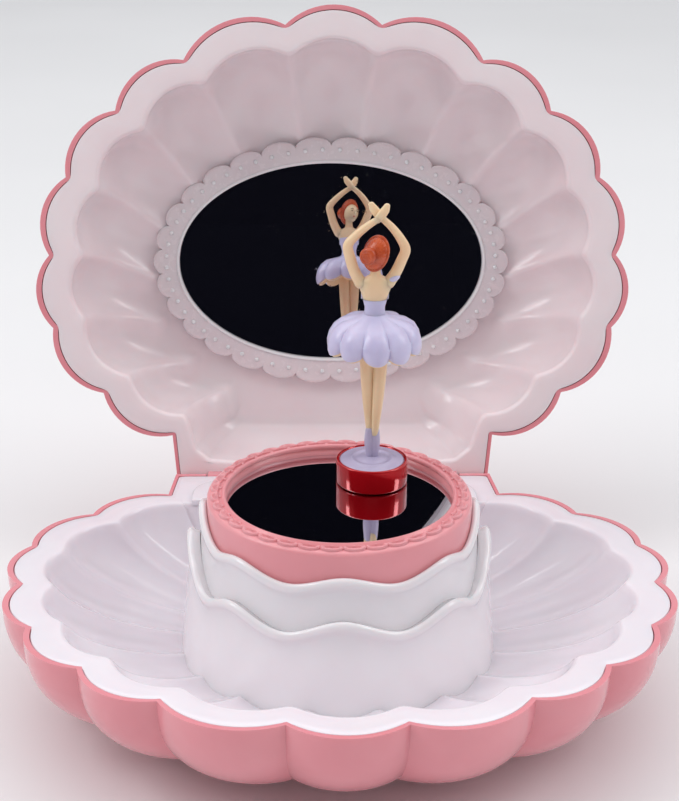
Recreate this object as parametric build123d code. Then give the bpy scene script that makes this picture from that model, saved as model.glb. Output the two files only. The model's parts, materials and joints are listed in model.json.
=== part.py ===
from build123d import *
import math
import os

# Wind-up music box in the shape of a scallop shell, millimetres.
# +X is the box's right, +Y its back, +Z up.  Z = 0 is the surface it stands on, and X = Y = 0 is
# the middle of its bounding box with the lid open.
# Most pieces are drawn in the "rim frame": Y = 0 on the hinge axis and Z = 0 on the plane where
# the two shells meet.  The lid is drawn closed and then swung open.

# ---- driving dimensions ----
RIM_Z = 31.0
HINGE_Y = 37.556
HINGE_DROP = 3.7
OPEN_DEG = 102.4

# shell outline: the valleys between its rounded lobes, from the front one to the neck
CUSPS = [(12.5, -120.9), (38.9, -112.0), (56.8, -99.1), (70.1, -81.9),
         (75.0, -61.5), (74.4, -42.2), (61.4, -24.7), (43.1, -13.1)]
LOBE_RATIO = 0.205
NECK_HALF = 41.9
NECK_BACK = -0.5
RIM_CENTRE_Y = -60.0
RIM_REACH = 75.0

# the inner edge of the flat rim, in the same order
INNER_CUSPS = [(11.2, -113.0), (33.6, -105.9), (49.6, -94.1), (61.6, -78.9),
               (66.0, -61.6), (65.7, -44.7), (54.2, -29.3), (38.6, -19.0)]

WALL = 1.4
SEAM = 0.15
UMBO_Y = -36.0
BASE_CURVE = (35.0, 2.4)
LID_CURVE = (31.3, 2.9)
BASE_DEPTH = 29.5
FLOOR_T = 3.0
LID_DEPTH = 31.0
RIM_T = 1.8

TRAY_DEPTH = 23.0
TRAY_SKIN = 1.2
TRAY_END_SCALE = 0.66
PAD_H = 1.2
PAD_HALF = 36.8
PAD_BACK_Y = -6.4
PAD_CORNER_R = 8.0

LINER_DEPTH = 23.8
LINER_END_SCALE = 0.75
LINER_UMBO_Y = -31.0
LID_MIRROR_Y = -58.0
LID_MIRROR_A = 42.0
LID_MIRROR_B = 27.0
FRAME_A = 49.3
FRAME_B = 34.2
FRAME_PROUD = 1.3
MIRROR_T = 1.5

STAGE_Y = -54.0
STAGE_TOP = 20.0
STAGE_MIRROR_TOP = 17.7
RING_R = 30.85
RING_OPEN_R = 26.25
UPPER_R = 32.5
LOWER_R = 35.4
COLUMN_FOOT_R = 38.0
SKIRT_R = 34.0
TIER_WALL = 1.6
# height of each tier's top edge at degrees from the front, repeated in every quarter
UPPER_EDGE = [(0, 14.1), (23, 11.6), (46, 14.1), (62, 12.6), (76, 14.8), (90, 17.5)]
LOWER_EDGE = [(0, 4.9), (23, 1.1), (45, 4.5), (62, 1.6), (76, 6.0), (90, 10.3)]

KNUCKLE_R = 3.2
KNUCKLE_INNER = 33.5
KNUCKLE_GAP = 0.4
PIN_R = 1.0

COVER_R = 33.5
COVER_HOLE_R = 29.5
COVER_T = 1.6
WELL_R = 13.3
WELL_ROOF = -19.0
FOOT_H = RIM_Z - BASE_DEPTH
FOOT_R = 4.0
FEET = [(30.0, -76.0), (31.0, -27.5)]

# movement, placed from the stage axis
BED_Z = -17.0
BED_T = 1.4
BED_R = 32.2
STANDOFF_RING = 30.95
BARREL_X = -14.5
BARREL_R = 12.0
BARREL_Z = -14.6
BARREL_H = 8.0
CROWN_TEETH = 36
CROWN_R = 11.0
CROWN_RISE = 0.8
PINION_TEETH = 16
DRUM_R = 6.0
DRUM_X0 = -0.5
DRUM_L = 19.5
NOTES = 18
NOTE_PITCH = 1.0
DRUM_GEAR_TEETH = 26
FLY_PINION_TEETH = 12
FLY_MODULE = 0.5
FLY_R = 3.0
BRIDGE_Z = 6.4
BRIDGE_T = 1.2
ARM_GEAR_TEETH = 24
ARM_GEAR_Z = 8.2
ARM_GEAR_T = 1.5
MAGNET_R = 3.5
MAGNET_H = 3.0
ORBIT_R = 13.3
ORBIT_DEG = 53.0
RUNNING = 0.05
LIFT = 0.25

# dancer, placed from the middle of her disc's underside
CUP_R = 8.5
CUP_H = 5.8
PLATE_R = 7.3
HIP_Z = 38.0
TUTU_R = 11.3
HEAD_Z = 56.2

os.makedirs("parts", exist_ok=True)
RIM_FRAME = Location((0, HINGE_Y, RIM_Z))
STAGE = Location((0, HINGE_Y + STAGE_Y, RIM_Z))


def save(node, shape):
    """Write one node's STEP file."""
    shape.label = node
    export_step(shape, "parts/" + node + ".step")


def rod(x, y, z, radius, length):
    """Upright cylinder standing on z."""
    return Pos(x, y, z + length / 2) * Cylinder(radius, length)


def block(x0, x1, y0, y1, z0, z1):
    """Box between two corners."""
    return Pos((x0 + x1) / 2, (y0 + y1) / 2, (z0 + z1) / 2) * Box(x1 - x0, y1 - y0, z1 - z0)


# ---- outlines ----
def lobe_arc(a, b, away_from):
    """Arc from a to b that bulges away from a centre by LOBE_RATIO of its chord."""
    chord = b - a
    bulge = Vector(chord.Y, -chord.X, 0) * LOBE_RATIO
    middle = (a + b) * 0.5
    if (middle + bulge - away_from).length < (middle - bulge - away_from).length:
        bulge = bulge * -1
    return ThreePointArc(a, middle + bulge, b)


def scallop_wire(cusps, back, z, scale=1.0, centre_y=UMBO_Y):
    """Closed outline of lobes, scaled about (0, centre_y); back lists the neck's right-hand points."""
    def place(p):
        return Vector(p[0] * scale, centre_y + (p[1] - centre_y) * scale, z)

    right = [place(p) for p in cusps]
    left = [place((-p[0], p[1])) for p in cusps]
    middle = Vector(0, centre_y + (RIM_CENTRE_Y - centre_y) * scale, z)
    edges = [lobe_arc(left[0], right[0], middle)]
    for a, b in zip(right, right[1:]):
        edges.append(lobe_arc(a, b, middle))
    neck = [place(p) for p in back] + [place((-p[0], p[1])) for p in reversed(back)]
    stops = [right[-1]] + neck + [left[-1]]
    for a, b in zip(stops, stops[1:]):
        edges.append(Line(a, b))
    for a, b in zip(reversed(left[1:]), reversed(left[:-1])):
        edges.append(lobe_arc(a, b, middle))
    return Wire(edges)


def inset(p, distance):
    """Move an outline point towards the middle of the rim by distance at the widest place."""
    k = 1 - distance / RIM_REACH
    return (p[0] * k, RIM_CENTRE_Y + (p[1] - RIM_CENTRE_Y) * k)


def rim_outline(distance):
    cusps = [inset(p, distance) for p in CUSPS]
    return cusps, [inset((NECK_HALF, NECK_BACK), distance)]


def shell_solid(distance, depth, curve, direction):
    """Loft of scalloped outlines that shrink with depth along a superellipse of (height, power)."""
    height, power = curve
    cusps, back = rim_outline(distance)
    wires = []
    for step in (0.0, 0.25, 0.5, 0.7, 0.86, 0.95, 1.0):
        here = depth * step
        scale = (1 - (here / (height - distance)) ** power) ** (1 / power)
        wires.append(scallop_wire(cusps, back, direction * here, scale))
    return Solid.make_loft(wires)


def bowl_solid(back, depth, end_scale, grow, centre_y, direction):
    """Loft of the inner outline, round-bottomed, for the hollow of a tray."""
    wires = []
    for step in (0.0, 0.3, 0.6, 0.85, 1.0):
        scale = 1 - (1 - end_scale) * (1 - math.sqrt(1 - step ** 2.2 * 0.96)) / 0.8
        wires.append(scallop_wire(INNER_CUSPS, back, direction * depth * step, scale * grow, centre_y))
    return Solid.make_loft(wires)


def rim_plate(distance, thickness, direction):
    cusps, back = rim_outline(distance)
    face = Face(scallop_wire(cusps, back, 0))
    return extrude(face, thickness, dir=(0, 0, direction))


# ---- base ----
def hinge_clearance():
    """Room in the base for the lid's long knuckle and its web."""
    half = KNUCKLE_INNER + KNUCKLE_GAP
    radius = KNUCKLE_R + KNUCKLE_GAP
    tunnel = Pos(0, 0, -HINGE_DROP) * Rot(0, 90, 0) * Cylinder(radius, 2 * half)
    return tunnel + block(-half, half, -radius, 6, -HINGE_DROP, 6)


def knuckle(x0, x1, radius):
    """Hinge barrel along X on the hinge axis."""
    return Pos((x0 + x1) / 2, 0, -HINGE_DROP) * Rot(0, 90, 0) * Cylinder(radius, x1 - x0)


def base_shell():
    outer = shell_solid(0, BASE_DEPTH, BASE_CURVE, -1)
    cavity = shell_solid(WALL, BASE_DEPTH - FLOOR_T, BASE_CURVE, -1)
    shell = outer - cavity
    shell -= Pos(0, STAGE_Y, -BASE_DEPTH) * Cylinder(COVER_R + SEAM, 2 * COVER_T)
    shell -= Pos(0, STAGE_Y, -BASE_DEPTH) * Cylinder(COVER_HOLE_R, 20)
    shell -= hinge_clearance()
    for side in (-1, 1):
        x0, x1 = sorted((side * (KNUCKLE_INNER + KNUCKLE_GAP), side * NECK_HALF * 0.99))
        shell += knuckle(x0, x1, KNUCKLE_R)
    shell -= knuckle(-NECK_HALF, NECK_HALF, PIN_R)
    return shell


def base_tray():
    back = [(38.6, -18.4)]
    tray = rim_plate(WALL + SEAM, RIM_T, -1)
    tray += bowl_solid(back, TRAY_DEPTH + TRAY_SKIN, TRAY_END_SCALE, 1.02, UMBO_Y, -1)
    tray -= bowl_solid(back, TRAY_DEPTH, TRAY_END_SCALE, 1.0, UMBO_Y, -1)
    pad = block(-PAD_HALF, PAD_HALF, -18.5, PAD_BACK_Y, 0, PAD_H)
    tray += fillet(pad.edges().filter_by(Axis.Z).group_by(Axis.Y)[-1], PAD_CORNER_R)
    tray -= rod(0, STAGE_Y, -40, COLUMN_FOOT_R + SEAM, 60)
    tray -= hinge_clearance()
    tray -= block(-NECK_HALF, NECK_HALF, -KNUCKLE_R - KNUCKLE_GAP, 6, -12, 6)
    return tray


def bottom_cover():
    plate = rod(0, STAGE_Y, -BASE_DEPTH, COVER_R, COVER_T)
    cup_h = WELL_ROOF + TRAY_SKIN + BASE_DEPTH
    plate += rod(BARREL_X, STAGE_Y, -BASE_DEPTH, WELL_R + TRAY_SKIN, cup_h)
    plate -= rod(BARREL_X, STAGE_Y, -BASE_DEPTH, WELL_R, WELL_ROOF + BASE_DEPTH)
    plate -= rod(BARREL_X, STAGE_Y, -BASE_DEPTH, 2.4, 20)
    for x, y in cover_screw_places():
        plate -= rod(x, y, -BASE_DEPTH, 1.2, COVER_T)
        plate -= Pos(x, y, -BASE_DEPTH + 0.4) * Cone(2.3, 1.2, 0.8)
    return plate


def cover_screw_places():
    places = []
    for k in range(4):
        angle = math.radians(45 + 90 * k)
        places.append((31 * math.cos(angle), STAGE_Y + 31 * math.sin(angle)))
    return places


def cover_screws():
    screws = []
    for x, y in cover_screw_places():
        head = Pos(x, y, -BASE_DEPTH + 0.4) * Cone(2.2, 1.15, 0.8)
        shank = rod(x, y, -BASE_DEPTH, 1.0, COVER_T)
        slot = block(x - 1.6, x + 1.6, y - 0.25, y + 0.25, -BASE_DEPTH, -BASE_DEPTH + 0.4)
        cross = block(x - 0.25, x + 0.25, y - 1.6, y + 1.6, -BASE_DEPTH, -BASE_DEPTH + 0.4)
        screws.append(head + shank - slot - cross)
    return Compound(children=screws)


def rubber_feet():
    feet = []
    for x, y in FEET:
        for side in (-1, 1):
            foot = rod(side * x, y, -BASE_DEPTH - FOOT_H, FOOT_R, FOOT_H)
            feet.append(fillet(foot.edges().group_by(Axis.Z)[0], 0.5))
    return Compound(children=feet)


# ---- stage ----
def wavy_wall(top_r, foot_r, edge, foot_z):
    """Round wall whose top edge waves: edge lists (degrees from the front or back, height)."""
    above = edge[-1][1] + 1
    profile = Polyline((top_r, foot_z), (foot_r, foot_z), (top_r, edge[0][1] - 3), (top_r, above),
                       (top_r - TIER_WALL, above), (top_r - TIER_WALL, foot_z), close=True)
    wall = revolve(Plane.XZ * make_face(profile), Axis.Z)
    right = []
    for degrees, z in edge:
        right.append((top_r * math.sin(math.radians(degrees)), z))
    left = [(-x, z) for x, z in reversed(right[1:])]
    crest = Spline(left + right)
    x, z = right[-1]
    lid = Polyline((x, z), (x + 5, z), (x + 5, above + 1), (-x - 5, above + 1), (-x - 5, z), (-x, z))
    return wall - extrude(Plane.XZ * make_face(crest + lid), 2 * top_r, both=True)


def lower_tier():
    wall = wavy_wall(LOWER_R, COLUMN_FOOT_R, LOWER_EDGE, -24.0)
    skirt = rod(0, 0, -BASE_DEPTH + FLOOR_T, SKIRT_R, 4.5) - rod(0, 0, -40, SKIRT_R - TIER_WALL, 60)
    step = rod(0, 0, -24.0, COLUMN_FOOT_R - 1, 1.5) - rod(0, 0, -40, SKIRT_R - TIER_WALL, 60)
    shelf = rod(0, 0, -3.5, LOWER_R - 0.5, 1.5) - rod(0, 0, -10, 29.5, 20)
    tier = wall + skirt + step + shelf
    return tier - stop_rod_slot()


def stop_rod_slot():
    return block(8.5, 11.5, 20, 45, -6.2, -4.0)


def upper_tier():
    wall = wavy_wall(UPPER_R, UPPER_R + 1.0, UPPER_EDGE, -2.0)
    ledge = rod(0, 0, 2.0, UPPER_R - 1, 1.5) - rod(0, 0, -10, 27.0, 30)
    return wall + ledge


def stage_ring():
    inner = RING_R - TIER_WALL
    seat = STAGE_MIRROR_TOP - MIRROR_T - COVER_T
    profile = Polyline((RING_R, 3.5), (RING_R, STAGE_TOP - 0.7), (RING_R - 0.7, STAGE_TOP),
                       (RING_OPEN_R + 0.5, STAGE_TOP), (RING_OPEN_R, STAGE_TOP - 0.5),
                       (RING_OPEN_R, STAGE_MIRROR_TOP), (RING_OPEN_R + 1.5, STAGE_MIRROR_TOP),
                       (RING_OPEN_R + 1.5, seat), (inner, seat), (inner, 3.5), close=True)
    ring = revolve(Plane.XZ * make_face(profile), Axis.Z)
    return ring


def mirror_deck():
    return rod(0, 0, STAGE_MIRROR_TOP - MIRROR_T - COVER_T, RING_OPEN_R + 1.4, COVER_T)


def stage_mirror():
    return rod(0, 0, STAGE_MIRROR_TOP - MIRROR_T, RING_OPEN_R + 1.4, MIRROR_T)


# ---- lid, drawn closed ----
def opened(shape):
    """Swing a closed lid piece about the hinge axis to the open stop."""
    swing = Pos(0, 0, -HINGE_DROP) * Rot(-OPEN_DEG, 0, 0) * Pos(0, 0, HINGE_DROP)
    return RIM_FRAME * swing * shape


def lid_shell():
    outer = shell_solid(0, LID_DEPTH, LID_CURVE, 1)
    cavity = shell_solid(WALL, LID_DEPTH - WALL, LID_CURVE, 1)
    shell = outer - cavity
    shell -= block(-100, 100, -140, 10, -1, SEAM)
    web = block(-KNUCKLE_INNER, KNUCKLE_INNER, -KNUCKLE_R, NECK_BACK, -HINGE_DROP, 2.5)
    shell += web + knuckle(-KNUCKLE_INNER, KNUCKLE_INNER, KNUCKLE_R)
    return shell - knuckle(-NECK_HALF, NECK_HALF, PIN_R + RUNNING)


def lid_liner():
    back = [(37.6, -10.2), (33.0, -6.4), (27.0, -6.0)]
    liner = rim_plate(WALL + SEAM, RIM_T, 1)
    liner += bowl_solid(back, LINER_DEPTH + TRAY_SKIN, LINER_END_SCALE, 1.02, LINER_UMBO_Y, 1)
    liner -= bowl_solid(back, LINER_DEPTH, LINER_END_SCALE, 1.0, LINER_UMBO_Y, 1)
    liner -= block(-100, 100, -140, 10, -1, SEAM)
    liner -= block(-KNUCKLE_INNER - 0.1, KNUCKLE_INNER + 0.1, -KNUCKLE_R - 0.1, 5, -5, 2.6)
    return liner


def oval(a, b, z, height):
    face = Pos(0, LID_MIRROR_Y, z) * Ellipse(a, b)
    return extrude(face, height)


def lid_mirror():
    return oval(LID_MIRROR_A + 1, LID_MIRROR_B + 1, LINER_DEPTH - MIRROR_T, MIRROR_T)


def lid_mirror_frame():
    low = LINER_DEPTH - MIRROR_T - FRAME_PROUD
    ring = oval(FRAME_A, FRAME_B, low, MIRROR_T + FRAME_PROUD)
    ring -= oval(LID_MIRROR_A, LID_MIRROR_B, low, MIRROR_T + FRAME_PROUD)
    return ring - oval(LID_MIRROR_A + 1, LID_MIRROR_B + 1, LINER_DEPTH - MIRROR_T, MIRROR_T)


def hinge_pin():
    return knuckle(-NECK_HALF + 0.6, NECK_HALF - 0.6, PIN_R)


# ---- movement, drawn about the stage axis ----
def gear(teeth, module, thickness, phase=0.0):
    """Spur gear standing on z = 0 with slim flat-sided teeth that leave backlash."""
    pitch_r = teeth * module / 2
    root = pitch_r - 1.1 * module
    tip = pitch_r + 0.75 * module
    step = 2 * math.pi / teeth
    points = []
    for k in range(teeth):
        middle = step * (k + phase)
        for radius, half in ((root, -0.27), (tip, -0.11), (tip, 0.11), (root, 0.27)):
            angle = middle + half * step
            points.append((radius * math.cos(angle), radius * math.sin(angle)))
    return extrude(make_face(Polyline(*points, close=True)), thickness)


def along_x(shape, x, y, z):
    """Turn a piece drawn along +Z to run along +X, keeping its +X direction on +Y."""
    return Pos(x, y, z) * Plane.YZ.location * shape


CROWN_MODULE = 2 * CROWN_R / CROWN_TEETH
BARREL_TOP = BARREL_Z + BARREL_H
DRUM_Z = BARREL_TOP + CROWN_RISE + PINION_TEETH * CROWN_MODULE / 2
FLY_Y = (DRUM_GEAR_TEETH + FLY_PINION_TEETH) * FLY_MODULE / 2
ARM_MODULE = -BARREL_X / ARM_GEAR_TEETH
BED_TOP = BED_Z + BED_T
PILLARS = [(-8.0, 21.5), (-8.0, -21.5), (23.5, -7.0)]


def bedplate():
    plate = rod(0, 0, BED_Z, BED_R, BED_T)
    plate -= rod(BARREL_X, 0, BED_Z, 1.5 + RUNNING, BED_T)
    for k in range(3):
        plate -= Rot(0, 0, 90 + 120 * k) * rod(STANDOFF_RING, 0, BED_Z, 0.9, BED_T)
    return plate


def standoffs():
    posts = []
    height = BED_Z + BASE_DEPTH - FLOOR_T
    for k in range(3):
        posts.append(Rot(0, 0, 90 + 120 * k) * rod(STANDOFF_RING, 0, -BASE_DEPTH + FLOOR_T, 1.4, height))
    return Compound(children=posts)


def bearing_bracket(x, y0, y1, holes):
    """Upright bearing plate on the bedplate, bored for shafts along X."""
    plate = block(x, x + 1.2, y0, y1, BED_TOP, DRUM_Z + 2.2)
    for y in holes:
        plate -= Pos(x + 0.6, y, DRUM_Z) * Rot(0, 90, 0) * Cylinder(0.8 + RUNNING, 2)
    return plate


def bearing_brackets():
    right = bearing_bracket(22.0, -2.5, FLY_Y + 2.5, (0, FLY_Y))
    left = bearing_bracket(1.2, FLY_Y - 2.2, FLY_Y + 2.5, (FLY_Y,))
    return Compound(children=[right, left])


def bridge():
    """Upper plate that carries the magnet arm and the drum's left bearing."""
    top = rod(0, 0, BRIDGE_Z, 7, BRIDGE_T)
    for x, y in PILLARS:
        reach = math.hypot(x, y)
        arm = block(0, reach, -3, 3, BRIDGE_Z, BRIDGE_Z + BRIDGE_T) + rod(reach, 0, BRIDGE_Z, 3, BRIDGE_T)
        top += Rot(0, 0, math.degrees(math.atan2(y, x))) * arm
    top += block(BARREL_X - 3.5, 0, -3.5, 3.5, BRIDGE_Z, BRIDGE_Z + BRIDGE_T)
    top -= rod(BARREL_X, 0, BRIDGE_Z, 1.5 + RUNNING, BRIDGE_T)
    top += block(-8.4, -7.2, -2.5, 2.5, DRUM_Z - 2.2, BRIDGE_Z)
    top -= Pos(-7.8, 0, DRUM_Z) * Rot(0, 90, 0) * Cylinder(0.8 + RUNNING, 3)
    top += rod(0, 0, BRIDGE_Z + BRIDGE_T, 1.2, 3.4)
    for x, y in PILLARS:
        top -= rod(x, y, BRIDGE_Z, 0.9, BRIDGE_T)
    return top


def bridge_pillars():
    posts = [rod(x, y, BED_TOP, 1.8, BRIDGE_Z - BED_TOP) for x, y in PILLARS]
    return Compound(children=posts)


def bridge_screws():
    screws = []
    for x, y in PILLARS:
        head = rod(x, y, BRIDGE_Z + BRIDGE_T, 1.6, 0.5)
        slot = block(x - 2, x + 2, y - 0.2, y + 0.2, BRIDGE_Z + BRIDGE_T + 0.25, BRIDGE_Z + BRIDGE_T + 1)
        screws.append(head + rod(x, y, BRIDGE_Z, 0.85, BRIDGE_T) - slot)
    return Compound(children=screws)


def comb():
    """Steel comb: one plate with a tuned tooth for each note."""
    x0 = DRUM_X0 + 0.8
    length = NOTES * NOTE_PITCH
    plate = block(x0, x0 + length, -21.5, -6.5, DRUM_Z - 0.5, DRUM_Z + 0.5)
    for k in range(NOTES - 1):
        x = x0 + (k + 1) * NOTE_PITCH
        plate -= block(x - 0.15, x + 0.15, -17.0 + 0.15 * k, -6.0, DRUM_Z - 1, DRUM_Z + 1)
    for x in (x0 + 3, x0 + length - 3):
        plate -= rod(x, -19.7, DRUM_Z - 1, 0.9, 2)
    return plate


def comb_block():
    x0 = DRUM_X0 + 0.8
    bar = block(x0, x0 + NOTES * NOTE_PITCH, -21.5, -18.0, BED_TOP, DRUM_Z - 0.5)
    return bar


def comb_screws():
    screws = []
    x0 = DRUM_X0 + 0.8
    for x in (x0 + 3, x0 + NOTES * NOTE_PITCH - 3):
        head = rod(x, -19.7, DRUM_Z + 0.5, 1.6, 0.9)
        slot = block(x - 2, x + 2, -19.9, -19.5, DRUM_Z + 1.0, DRUM_Z + 2)
        screws.append(head + rod(x, -19.7, DRUM_Z - 0.5, 0.85, 1) - slot)
    return Compound(children=screws)


def spring_barrel():
    """Cup that holds the mainspring, with crown teeth on its lid and a post with a spur gear."""
    drum = rod(BARREL_X, 0, BARREL_Z, BARREL_R, BARREL_H)
    drum -= rod(BARREL_X, 0, BARREL_Z + 1, BARREL_R - 1.2, BARREL_H - 2)
    drum -= rod(BARREL_X, 0, BARREL_Z, 1.5 + RUNNING, 3)
    for k in range(CROWN_TEETH):
        tooth = block(CROWN_R - 0.9, CROWN_R + 0.9, -0.3, 0.3, BARREL_TOP, BARREL_TOP + CROWN_RISE + 0.4)
        drum += Pos(BARREL_X, 0, 0) * Rot(0, 0, 360 / CROWN_TEETH * k) * tooth
    drum += rod(BARREL_X, 0, BARREL_TOP, 1.5, ARM_GEAR_Z + ARM_GEAR_T - BARREL_TOP)
    drum += Pos(BARREL_X, 0, ARM_GEAR_Z) * gear(ARM_GEAR_TEETH, ARM_MODULE, ARM_GEAR_T)
    return drum


def mainspring():
    """Flat spiral inside the barrel."""
    turns = 5
    steps = 16
    inner = 2.6
    outer = BARREL_R - 1.7
    points = []
    for k in range(turns * steps + 1):
        radius = inner + (outer - inner) * k / (turns * steps)
        angle = 2 * math.pi * k / steps
        points.append((radius * math.cos(angle), radius * math.sin(angle)))
    strip = [(p[0] * (1 + 0.4 / math.hypot(*p)), p[1] * (1 + 0.4 / math.hypot(*p))) for p in points]
    outline = Polyline(*points, *reversed(strip), close=True)
    spiral = extrude(make_face(outline), BARREL_H - 3)
    return Pos(BARREL_X, 0, BARREL_Z + 1.5) * spiral


def winding_arbor():
    """Shaft from the key into the barrel, with the collar of its one-way clutch."""
    low = -25.0
    shaft = rod(BARREL_X, 0, low, 1.5, BARREL_Z + 5 - low)
    return shaft + rod(BARREL_X, 0, WELL_ROOF - 1.2, 3.2, 0.8)


def winding_key():
    """Wing key on a threaded hub, kept above the underside."""
    hub = rod(BARREL_X, 0, -26.0, 3.0, 5.4) - rod(BARREL_X, 0, -25.0, 1.5, 6)
    wing = Pos(BARREL_X, 0, -26.0) * Rot(90, 0, 0) * Ellipse(10.5, 3.2)
    blade = extrude(wing, 0.9, both=True) - rod(BARREL_X, 0, -25.0, 1.5, 6)
    for side in (-1, 1):
        blade -= Pos(BARREL_X + side * 6.3, 0, -26.0) * Rot(90, 0, 0) * Cylinder(1.6, 4)
    return hub + blade


def tune_cylinder():
    """Pinned drum on its arbor with the crown pinion and the governor's wheel."""
    drum = along_x(rod(0, 0, 0, DRUM_R, DRUM_L), DRUM_X0, 0, DRUM_Z)
    drum += along_x(rod(0, 0, 0, 0.8, 32.0), -8.6, 0, DRUM_Z)
    pinion_x = BARREL_X + CROWN_R - 0.8
    drum += along_x(gear(PINION_TEETH, CROWN_MODULE, 1.6, crown_phase()), pinion_x, 0, DRUM_Z)
    drum += along_x(gear(DRUM_GEAR_TEETH, FLY_MODULE, 1.2), DRUM_X0 + DRUM_L + 0.5, 0, DRUM_Z)
    for note in range(NOTES):
        x = DRUM_X0 + 0.8 + (note + 0.5) * NOTE_PITCH
        for turn in range(3):
            angle = 37 * note + 120 * turn + 23
            pin = Rot(0, 90, 0) * Cylinder(0.2, 0.7)
            drum += Pos(x, 0, DRUM_Z) * Rot(angle, 0, 0) * Pos(0, 0, DRUM_R) * Rot(0, 90, 0) * pin
    return drum


def crown_phase():
    """Turn that puts a gap of the drum's pinion over the crown tooth below it."""
    return (-0.25 * PINION_TEETH + 0.5) % 1.0


def governor_fly():
    """Air brake: a small pinion and two vanes on a thin shaft."""
    shaft = along_x(rod(0, 0, 0, 0.8, 22.4), 1.0, FLY_Y, DRUM_Z)
    pinion = gear(FLY_PINION_TEETH, FLY_MODULE, 1.6, 0.5)
    shaft += along_x(pinion, DRUM_X0 + DRUM_L + 0.3, FLY_Y, DRUM_Z)
    shaft += block(5, 17, FLY_Y - FLY_R, FLY_Y + FLY_R, DRUM_Z - 0.25, DRUM_Z + 0.25)
    return shaft


def magnet_arm():
    wheel = Pos(0, 0, ARM_GEAR_Z) * gear(ARM_GEAR_TEETH, ARM_MODULE, ARM_GEAR_T, 0.5)
    hub = rod(0, 0, ARM_GEAR_Z - 0.4, 2.6, 2.4)
    arm = block(0, ORBIT_R, -2.5, 2.5, ARM_GEAR_Z + ARM_GEAR_T + 0.5, ARM_GEAR_Z + ARM_GEAR_T + 1.5)
    arm += rod(ORBIT_R, 0, ARM_GEAR_Z + ARM_GEAR_T + 0.5, MAGNET_R + 0.6, 1.0)
    hub += rod(0, 0, ARM_GEAR_Z + ARM_GEAR_T, 2.6, 1.5)
    return Rot(0, 0, ORBIT_DEG) * arm + wheel + hub - rod(0, 0, 0, 1.2 + RUNNING, 30)


def drive_magnet():
    low = ARM_GEAR_Z + ARM_GEAR_T + 1.5
    return Rot(0, 0, ORBIT_DEG) * rod(ORBIT_R, 0, low, MAGNET_R, MAGNET_H)


def stop_rod():
    """Rod that the closing lid pushes forward to brake the fly."""
    return block(9.0, 11.0, FLY_Y + FLY_R + 1.8, 47.0, -5.7, -4.5)


# ---- dancer, drawn about her own axis, on z = 0, facing +Y ----
def capsule(a, b, ra, rb):
    """Tapered limb between two points with round ends."""
    line = Vector(*b) - Vector(*a)
    cone = Cone(ra, rb, line.length) if abs(ra - rb) > 1e-6 else Cylinder(ra, line.length)
    middle = Vector(*a) + line * 0.5
    limb = Plane(origin=middle, z_dir=line).location * cone
    return limb + Pos(*a) * Sphere(ra) + Pos(*b) * Sphere(rb)


def figure_cup():
    cup = rod(0, 0, 0, CUP_R, CUP_H)
    cup = fillet(cup.edges(), 0.4)
    return cup - rod(0, 0, 1.0, 6.0, 3.6)


def figure_magnet():
    return rod(0, 0, 1.0, 6.0, 3.6)


def figure_plate():
    """Stand plate with her pointed shoes."""
    plate = rod(0, 0, CUP_H, PLATE_R, 0.7) + rod(0, 0, CUP_H + 0.7, PLATE_R - 1.6, 0.5)
    for side in (-1, 1):
        plate += capsule((side * 0.9, 0, CUP_H + 1.4), (side * 0.8, 0.2, 13.0), 1.1, 1.2)
    return plate


def figure_legs():
    legs = capsule((0.8, 0.2, 14.4), (0.7, -0.3, HIP_Z), 1.2, 2.4)
    legs += capsule((-0.8, 0.2, 14.4), (-0.9, 0.4, HIP_Z), 1.2, 2.4)
    return legs - figure_plate() - figure_tutu_cone(0) - rod(0, 0, HIP_Z - 1, 20, 20)


def figure_tutu_cone(thickness):
    low = 30.5
    profile = Polyline((0, 42.5), (2.6 + thickness, 42.5), (7.5, 39.5 + thickness), (TUTU_R, 33.0),
                       (TUTU_R - 0.6, low), (TUTU_R - 1.4, low), (6.5, 36.0 - thickness), (0, 37.0 - thickness),
                       close=True)
    return revolve(Plane.XZ * make_face(profile), Axis.Z)


def figure_tutu():
    return figure_tutu_cone(0)


def figure_bodice():
    wires = []
    for z, a, b in ((42.5, 3.0, 2.4), (46.0, 3.6, 2.8), (50.0, 4.4, 2.6)):
        wires.append(Wire((Pos(0, 0, z) * Ellipse(a, b)).edges()))
    return Solid.make_loft(wires)


def figure_torso():
    """Shoulders, neck, head and raised arms with crossed wrists."""
    body = Pos(0, 0, 50.9) * Cylinder(2.4, 1.8)
    body += capsule((-4.2, 0, 50.8), (4.2, 0, 50.8), 1.3, 1.3)
    body += rod(0, 0, 51, 1.2, 4)
    body += Pos(0, 0, HEAD_Z) * Sphere(3.0)
    for side in (-1, 1):
        shoulder = (side * 4.4, 0, 50.8)
        elbow = (side * 6.8, 0.4, 57.6)
        wrist = (side * 0.8, side * 0.9, 64.2)
        body += capsule(shoulder, elbow, 1.25, 0.95) + capsule(elbow, wrist, 0.95, 0.75)
        body += capsule(wrist, (-side * 1.6, side * 0.9, 66.2), 0.7, 0.45)
    return body - figure_bodice()


def figure_hair():
    hair = Pos(0, -0.5, HEAD_Z + 0.6) * Sphere(3.3) + Pos(0, -3.3, HEAD_Z + 1.4) * Sphere(1.7)
    face_side = block(-5, 5, 0.9, 6, HEAD_Z - 6, HEAD_Z + 6)
    return hair - Pos(0, 0, HEAD_Z) * Sphere(3.0) - face_side - rod(0, 0, 40, 1.3, 15)


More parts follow.
